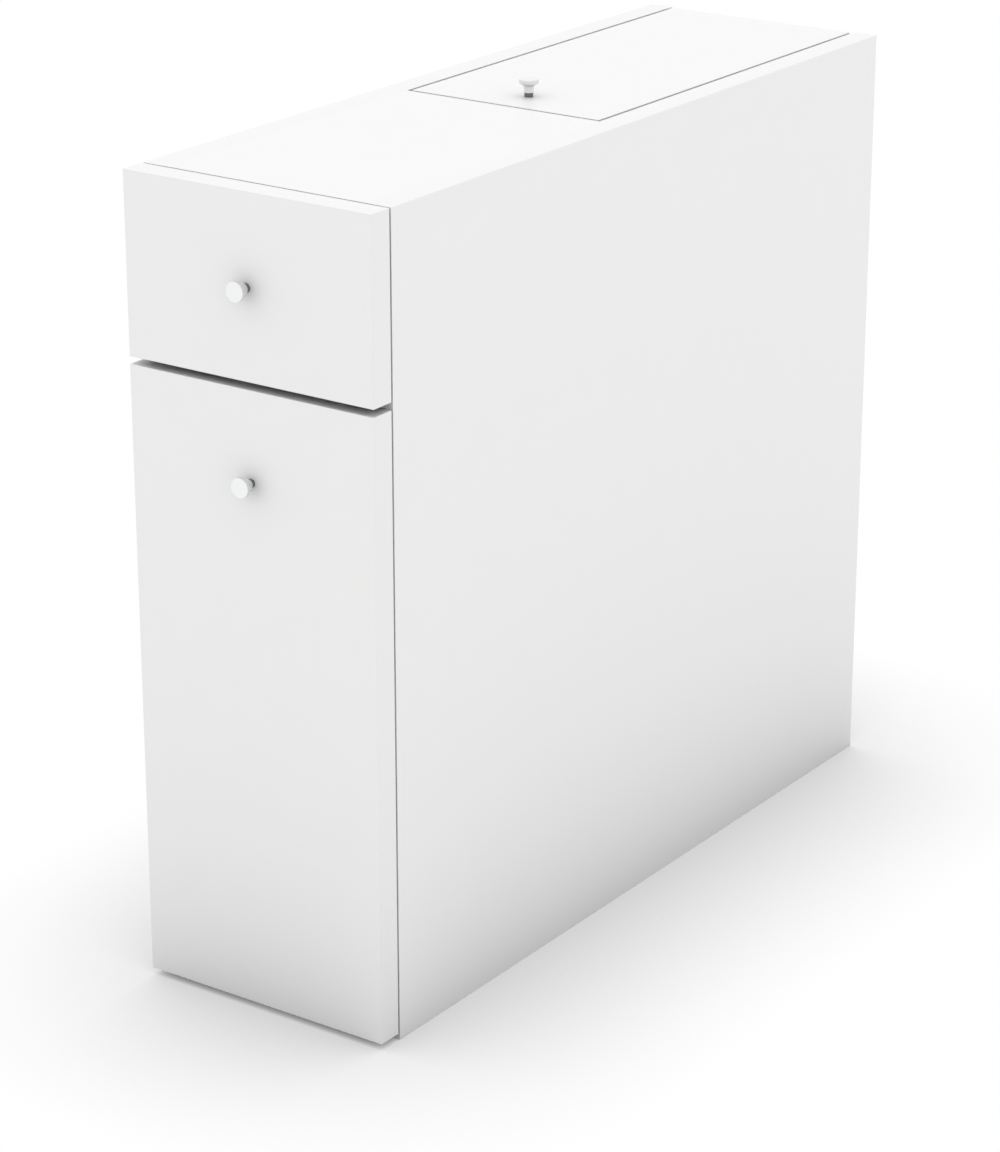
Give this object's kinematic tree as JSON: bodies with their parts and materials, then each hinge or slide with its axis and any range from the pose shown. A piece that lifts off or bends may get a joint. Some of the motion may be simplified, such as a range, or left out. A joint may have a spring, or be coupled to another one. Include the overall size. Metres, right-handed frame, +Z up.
{
  "type": "bathroom cabinet",
  "caption": "Slim white floor-standing bathroom cabinet with a drawer and a taller pull-out on roller runners, and a hinged lid over a deep rear compartment.",
  "frame": {"origin": "on the floor, at the centre of the outside box with the knobs", "axes": "+X to the right of someone who faces the fronts, -Y out of the fronts, +Z up"},
  "size_m": [0.19, 0.612, 0.562],
  "materials": {
    "melamine": "satin white melamine on particle board",
    "box_board": "matte white foil on board",
    "hardboard": "thin hardboard, painted white on the face",
    "beech": "plain beech",
    "zinc": "bright zinc plate",
    "runner_steel": "white epoxy coat on pressed steel",
    "nylon": "natural white nylon",
    "silicone": "clear soft silicone",
    "knob_metal": "turned, with a polished face and brushed sides",
    "knob_dark": "satin dark grey"
  },
  "bodies": {
    "carcass": {"side_panel_left": "melamine", "side_panel_right": "melamine", "top_panel": "melamine", "drawer_shelf": "melamine", "base_panel": "melamine", "partition": "melamine", "rear_rail": "melamine", "back_panel": "hardboard", "back_panel_nails": "zinc", "cam_locks": "zinc", "cam_bolts": "zinc", "carcass_dowels": "beech", "front_bumpers": "silicone", "drawer_track_left": "runner_steel", "drawer_track_right": "runner_steel", "pullout_track_left": "runner_steel", "pullout_track_right": "runner_steel", "track_screws": "zinc", "track_axles": "zinc", "lid_pivot_pins": "zinc"},
    "drawer": {"drawer_front": "melamine", "drawer_side_left": "box_board", "drawer_side_right": "box_board", "drawer_back": "box_board", "drawer_bottom": "hardboard", "drawer_front_dowels": "beech", "drawer_back_screws": "zinc", "drawer_rail_left": "runner_steel", "drawer_rail_right": "runner_steel", "drawer_rail_screws": "zinc", "drawer_rail_axles": "zinc", "drawer_knob": "knob_metal", "drawer_knob_collar": "knob_dark", "drawer_knob_screw": "zinc"},
    "pullout": {"pullout_front": "melamine", "pullout_side_left": "box_board", "pullout_side_right": "box_board", "pullout_back": "box_board", "pullout_bottom": "hardboard", "pullout_front_dowels": "beech", "pullout_back_screws": "zinc", "pullout_rail_left": "runner_steel", "pullout_rail_right": "runner_steel", "pullout_rail_screws": "zinc", "pullout_rail_axles": "zinc", "pullout_knob": "knob_metal", "pullout_knob_collar": "knob_dark", "pullout_knob_screw": "zinc"},
    "lid": {"lid_panel": "melamine", "lid_pivot_bushes": "nylon", "lid_knob": "knob_metal", "lid_knob_collar": "knob_dark", "lid_knob_screw": "zinc"},
    "drawer_track_rollers": {"drawer_track_rollers": "nylon"},
    "drawer_rail_rollers": {"drawer_rail_rollers": "nylon"},
    "pullout_track_rollers": {"pullout_track_rollers": "nylon"},
    "pullout_rail_rollers": {"pullout_rail_rollers": "nylon"}
  },
  "joints": [
    {"name": "drawer_slide", "type": "slide", "parent": "carcass", "child": "drawer", "axis": [0, -1, 0], "range_m": [0, 0.17]},
    {"name": "pullout_slide", "type": "slide", "parent": "carcass", "child": "pullout", "axis": [0, -1, 0], "range_m": [0, 0.17]},
    {"name": "lid_hinge", "type": "hinge", "parent": "carcass", "child": "lid", "pos_m": [0, 0.291, 0.541], "axis": [-1, 0, 0], "range_deg": [0, 92]},
    {"name": "drawer_track_roller_spin", "type": "hinge", "parent": "carcass", "child": "drawer_track_rollers", "pos_m": [0, -0.2625, 0.4572], "axis": [1, 0, 0], "range_deg": [0, 1360]},
    {"name": "drawer_rail_roller_spin", "type": "hinge", "parent": "drawer", "child": "drawer_rail_rollers", "pos_m": [0, -0.0555, 0.4572], "axis": [1, 0, 0], "range_deg": [0, 1360]},
    {"name": "pullout_track_roller_spin", "type": "hinge", "parent": "carcass", "child": "pullout_track_rollers", "pos_m": [0, -0.2625, 0.0507], "axis": [1, 0, 0], "range_deg": [0, 1360]},
    {"name": "pullout_rail_roller_spin", "type": "hinge", "parent": "pullout", "child": "pullout_rail_rollers", "pos_m": [0, -0.0555, 0.0507], "axis": [1, 0, 0], "range_deg": [0, 1360]}
  ],
  "couplings": [
    {"joint": "drawer_track_roller_spin", "follows": "drawer_slide", "rad_per_m": 138.89},
    {"joint": "drawer_rail_roller_spin", "follows": "drawer_slide", "rad_per_m": 138.89},
    {"joint": "pullout_track_roller_spin", "follows": "pullout_slide", "rad_per_m": 138.89},
    {"joint": "pullout_rail_roller_spin", "follows": "pullout_slide", "rad_per_m": 138.89}
  ]
}
